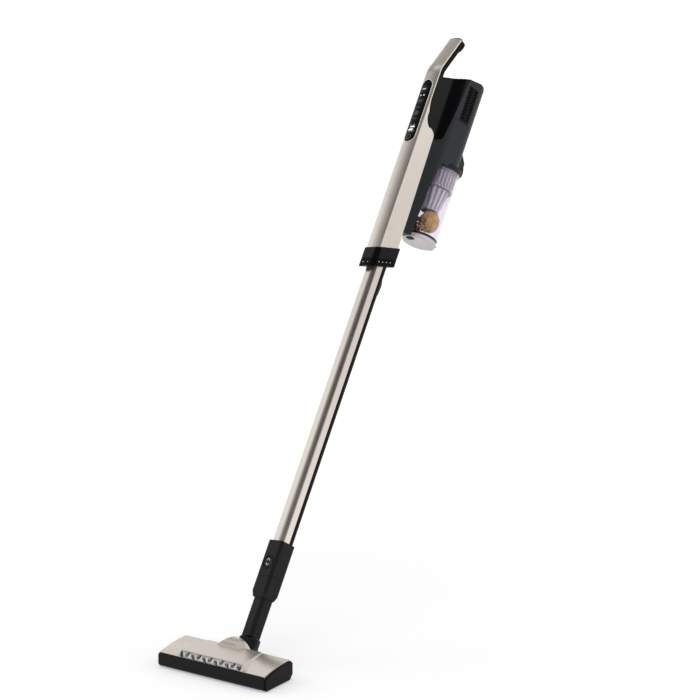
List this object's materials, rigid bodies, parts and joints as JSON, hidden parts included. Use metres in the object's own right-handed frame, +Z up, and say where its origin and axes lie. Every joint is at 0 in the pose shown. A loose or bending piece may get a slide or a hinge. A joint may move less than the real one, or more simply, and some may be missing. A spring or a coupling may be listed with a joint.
{
  "type": "cordless stick vacuum cleaner",
  "caption": "Cordless stick vacuum with a motorised floor head, swivel neck, removable tube, removable dust cup with opening lid, and push-button panel on the handle.",
  "frame": {"origin": "centre of the glide strip's underside, on the floor", "axes": "+Z up; -Y is the way the floor head points and +Y is behind it, where the user stands; +X is the user's left hand as they push the head forward, so right and left in the names are as seen from the front; the stick leans back 33.7 degrees and is turned 16 degrees about its own axis"},
  "size_m": [0.228, 0.8172, 1.0314],
  "materials": {
    "champagne": "pearl",
    "champagne_tube": "satin",
    "black_plastic": "matt",
    "black_gloss": "gloss",
    "dark_grey": "fine texture",
    "soft_black": "matt",
    "grey_rubber": "matt",
    "smoke_clear": "smoked clear",
    "lid_clear": "milky clear",
    "grey_mesh": "ribbed",
    "foam": "foam",
    "steel": "satin",
    "spring_steel": "satin",
    "copper": "plain",
    "cell_wrap": "wrap",
    "board": "board",
    "bristle": "soft bristle",
    "white_plastic": "satin"
  },
  "bodies": {
    "main_body": {"collar": "black_plastic", "body_shell": "champagne", "handle_grip": "black_plastic", "control_panel": "black_gloss", "lamp_window": "smoke_clear", "panel_board": "board", "upper_core": "black_gloss", "rear_housing": "dark_grey", "vent_plates": "black_plastic", "motor_can": "steel", "motor_mounts": "grey_rubber", "motor_board": "board", "exhaust_filter": "foam", "inlet_duct": "black_plastic", "battery_cells": "cell_wrap", "battery_frame": "white_plastic", "latch_spring": "spring_steel"},
    "key_high": {"button_high": "dark_grey"},
    "key_standard": {"button_standard": "dark_grey"},
    "key_off": {"button_off": "dark_grey"},
    "fan_rotor": {"motor_rotor": "steel"},
    "cup_catch": {"cup_latch": "black_gloss"},
    "dust_cup": {"cup_body": "smoke_clear", "cyclone": "grey_mesh", "pre_filter": "foam", "hinge_pin": "steel"},
    "cup_lid_body": {"cup_lid": "lid_clear", "lid_seal": "soft_black"},
    "lid_catch": {"lid_latch": "black_plastic"},
    "wand": {"wand_front_shell": "champagne_tube", "wand_back_rail": "black_plastic", "wand_lower_plug": "black_plastic", "wand_upper_plug": "black_plastic", "wand_conductors": "copper"},
    "wand_catch": {"wand_lever": "black_gloss"},
    "connector": {"connector_shell": "black_gloss", "neck_tube": "black_plastic", "button_spring": "spring_steel"},
    "connector_button": {"release_button": "black_gloss"},
    "elbow": {"swivel_elbow": "black_plastic"},
    "floor_head": {"head_base": "black_plastic", "head_cover": "champagne", "head_window": "smoke_clear", "led_board": "board", "front_bumper": "soft_black", "end_caps": "black_gloss", "glide_strip": "soft_black", "head_screws": "steel", "brush_bearings": "steel", "drive_belt": "soft_black", "brush_motor": "steel", "head_pins": "steel"},
    "brush_roll": {"brush_core": "dark_grey", "brush_bristles": "bristle"},
    "brush_drive": {"motor_pinion": "white_plastic"},
    "wheel_left": {"rear_wheel_left": "soft_black"},
    "wheel_right": {"rear_wheel_right": "soft_black"},
    "roller_left": {"front_roller_left": "white_plastic"},
    "roller_right": {"front_roller_right": "white_plastic"}
  },
  "joints": [
    {"name": "press_high", "type": "slide", "parent": "main_body", "child": "key_high", "axis": [0.2756, 0.7997, -0.5334], "range_m": [0, 0.0008], "stiffness_N_per_m": 400},
    {"name": "press_standard", "type": "slide", "parent": "main_body", "child": "key_standard", "axis": [0.2756, 0.7997, -0.5334], "range_m": [0, 0.0008], "stiffness_N_per_m": 400},
    {"name": "press_off", "type": "slide", "parent": "main_body", "child": "key_off", "axis": [0.2756, 0.7997, -0.5334], "range_m": [0, 0.0008], "stiffness_N_per_m": 400},
    {"name": "fan_spin", "type": "hinge", "parent": "main_body", "child": "fan_rotor", "pos_m": [0.01929, 0.6651, 0.84107], "axis": [0, 0.5548, 0.832], "continuous": true},
    {"name": "press_cup_catch", "type": "slide", "parent": "main_body", "child": "cup_catch", "axis": [-0.2756, -0.7997, 0.5334], "range_m": [0, 0.002], "stiffness_N_per_m": 500},
    {"name": "cup_off", "type": "slide", "parent": "main_body", "child": "dust_cup", "axis": [0, -0.5548, -0.832], "range_m": [0, 0.06]},
    {"name": "lid_open", "type": "hinge", "parent": "dust_cup", "child": "cup_lid_body", "pos_m": [0.03084, 0.58903, 0.65441], "axis": [0.9613, -0.2293, 0.1529], "range_deg": [0, 85]},
    {"name": "lid_catch_slide", "type": "slide", "parent": "cup_lid_body", "child": "lid_catch", "axis": [0.2756, 0.7997, -0.5334], "range_m": [0, 0.003], "stiffness_N_per_m": 150},
    {"name": "wand_out", "type": "slide", "parent": "main_body", "child": "wand", "axis": [0, -0.5548, -0.832], "range_m": [0, 0.04]},
    {"name": "wand_catch_tilt", "type": "hinge", "parent": "wand", "child": "wand_catch", "pos_m": [0.00408, 0.43253, 0.58798], "axis": [0.9613, -0.2293, 0.1529], "range_deg": [0, 2.5], "stiffness_Nm_per_rad": 0.6},
    {"name": "connector_off", "type": "slide", "parent": "wand", "child": "connector", "axis": [0, -0.5548, -0.832], "range_m": [0, 0.04]},
    {"name": "press_connector_button", "type": "slide", "parent": "connector", "child": "connector_button", "axis": [0.2756, 0.7997, -0.5334], "range_m": [0, 0.002], "stiffness_N_per_m": 600},
    {"name": "neck_swivel", "type": "hinge", "parent": "connector", "child": "elbow", "pos_m": [0, 0.0464, 0.03464], "axis": [0, 0.5548, 0.832], "range_deg": [-74, 106]},
    {"name": "head_pitch", "type": "hinge", "parent": "elbow", "child": "floor_head", "pos_m": [0, 0.0353, 0.018], "axis": [1, 0, 0], "range_deg": [-33, 46]},
    {"name": "brush_spin", "type": "hinge", "parent": "floor_head", "child": "brush_roll", "pos_m": [0, -0.043, 0.0124], "axis": [1, 0, 0], "continuous": true},
    {"name": "brush_drive_spin", "type": "hinge", "parent": "floor_head", "child": "brush_drive", "pos_m": [0.08, -0.002, 0.0165], "axis": [1, 0, 0], "continuous": true},
    {"name": "wheel_left_roll", "type": "hinge", "parent": "floor_head", "child": "wheel_left", "pos_m": [-0.0317, 0.0363, 0.0093], "axis": [1, 0, 0], "continuous": true},
    {"name": "wheel_right_roll", "type": "hinge", "parent": "floor_head", "child": "wheel_right", "pos_m": [0.0317, 0.0363, 0.0093], "axis": [1, 0, 0], "continuous": true},
    {"name": "roller_left_roll", "type": "hinge", "parent": "floor_head", "child": "roller_left", "pos_m": [-0.101, -0.0547, 0.0049], "axis": [1, 0, 0], "continuous": true},
    {"name": "roller_right_roll", "type": "hinge", "parent": "floor_head", "child": "roller_right", "pos_m": [0.101, -0.0547, 0.0049], "axis": [1, 0, 0], "continuous": true}
  ],
  "couplings": [
    {"joint": "brush_drive_spin", "follows": "brush_spin", "ratio": 1.5}
  ]
}
